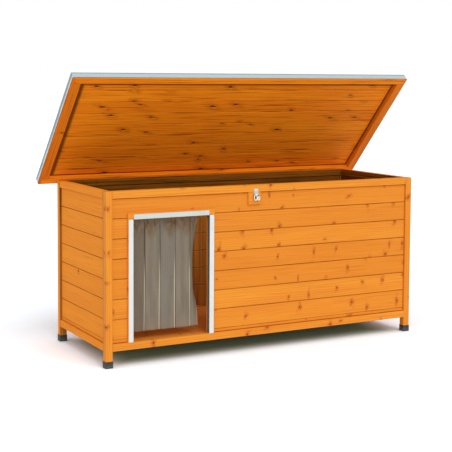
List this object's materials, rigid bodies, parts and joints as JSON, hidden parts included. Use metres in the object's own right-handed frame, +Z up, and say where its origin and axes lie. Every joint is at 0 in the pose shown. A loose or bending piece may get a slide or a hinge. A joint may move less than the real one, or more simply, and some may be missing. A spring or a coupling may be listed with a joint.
{
  "type": "dog house",
  "caption": "Low rectangular dog house of stained boards on rubber-capped legs, with a strip-curtained doorway at one end and a flat metal-edged lid hinged along the back.",
  "frame": {"origin": "on the floor, under the middle of the whole dog house's bounding box as it stands with its lid open at rest", "axes": "+X along the front towards the end without the doorway, +Y from the doorway side to the hinge side, +Z up"},
  "size_m": [1.66, 0.617, 1.1743],
  "materials": {
    "stained_wood": "orange-brown stain with a soft sheen",
    "lid_wood": "orange-brown stain with a soft sheen",
    "floor_wood": "darker stain, matt",
    "rubber": "matt black",
    "aluminium": "plain mill finish",
    "roof_metal": "pale blue-grey coated sheet",
    "zinc_steel": "zinc plated",
    "pvc": "smoky clear flexible sheet"
  },
  "bodies": {
    "box": {"back_boards": "stained_wood", "bottom_rail_back": "stained_wood", "bottom_rail_front": "stained_wood", "bottom_rail_left": "stained_wood", "bottom_rail_right": "stained_wood", "curtain_batten": "stained_wood", "door_head": "stained_wood", "door_jamb_left": "stained_wood", "door_jamb_right": "stained_wood", "door_trim_left": "aluminium", "door_trim_right": "aluminium", "door_trim_top": "aluminium", "floor_bearer": "floor_wood", "floor_boards": "floor_wood", "foot_cap_back_left": "rubber", "foot_cap_back_right": "rubber", "foot_cap_front_left": "rubber", "foot_cap_front_right": "rubber", "front_board_1": "stained_wood", "front_board_2": "stained_wood", "front_board_3": "stained_wood", "front_board_4": "stained_wood", "front_board_5": "stained_wood", "front_board_6": "stained_wood", "front_board_7": "stained_wood", "front_stub_boards": "stained_wood", "hinge_batten": "stained_wood", "hinge_lower_leaves": "zinc_steel", "latch_block": "stained_wood", "latch_plate": "zinc_steel", "left_boards": "stained_wood", "post_back_left": "stained_wood", "post_back_right": "stained_wood", "post_front_left": "stained_wood", "post_front_right": "stained_wood", "right_boards": "stained_wood", "top_rail_back": "stained_wood", "top_rail_front": "stained_wood", "top_rail_left": "stained_wood", "top_rail_right": "stained_wood"},
    "lid": {"hinge_upper_leaves": "zinc_steel", "latch_keeper": "zinc_steel", "lid_boards": "lid_wood", "lid_lath_left": "lid_wood", "lid_lath_right": "lid_wood", "lid_timber_front": "lid_wood", "lid_timber_left": "lid_wood", "lid_timber_rear": "lid_wood", "lid_timber_right": "lid_wood", "roof_sheet": "roof_metal", "roof_trim_front": "roof_metal", "roof_trim_left": "roof_metal", "roof_trim_right": "roof_metal"},
    "lever": {"latch_lever": "zinc_steel"},
    "strip_1": {"curtain_strip_1": "pvc"},
    "strip_2": {"curtain_strip_2": "pvc"},
    "strip_3": {"curtain_strip_3": "pvc"},
    "strip_4": {"curtain_strip_4": "pvc"},
    "strip_5": {"curtain_strip_5": "pvc"}
  },
  "joints": [
    {"name": "lid_hinge", "type": "hinge", "parent": "box", "child": "lid", "pos_m": [0, 0.28695, 0.6863], "axis": [-1, 0, 0], "range_deg": [-46.6, 48.4]},
    {"name": "lever_swing", "type": "hinge", "parent": "box", "child": "lever", "pos_m": [-0.068, -0.30455, 0.668], "axis": [-1, 0, 0], "range_deg": [0, 158]},
    {"name": "strip_1_swing", "type": "hinge", "parent": "box", "child": "strip_1", "pos_m": [-0.594, -0.24805, 0.5996], "axis": [1, 0, 0], "range_deg": [-40, 85]},
    {"name": "strip_2_swing", "type": "hinge", "parent": "box", "child": "strip_2", "pos_m": [-0.525, -0.24805, 0.5996], "axis": [1, 0, 0], "range_deg": [-40, 85]},
    {"name": "strip_3_swing", "type": "hinge", "parent": "box", "child": "strip_3", "pos_m": [-0.456, -0.24805, 0.5996], "axis": [1, 0, 0], "range_deg": [-40, 85]},
    {"name": "strip_4_swing", "type": "hinge", "parent": "box", "child": "strip_4", "pos_m": [-0.387, -0.24805, 0.5996], "axis": [1, 0, 0], "range_deg": [-40, 85]},
    {"name": "strip_5_swing", "type": "hinge", "parent": "box", "child": "strip_5", "pos_m": [-0.335, -0.24805, 0.5996], "axis": [1, 0, 0], "range_deg": [-40, 85]}
  ]
}
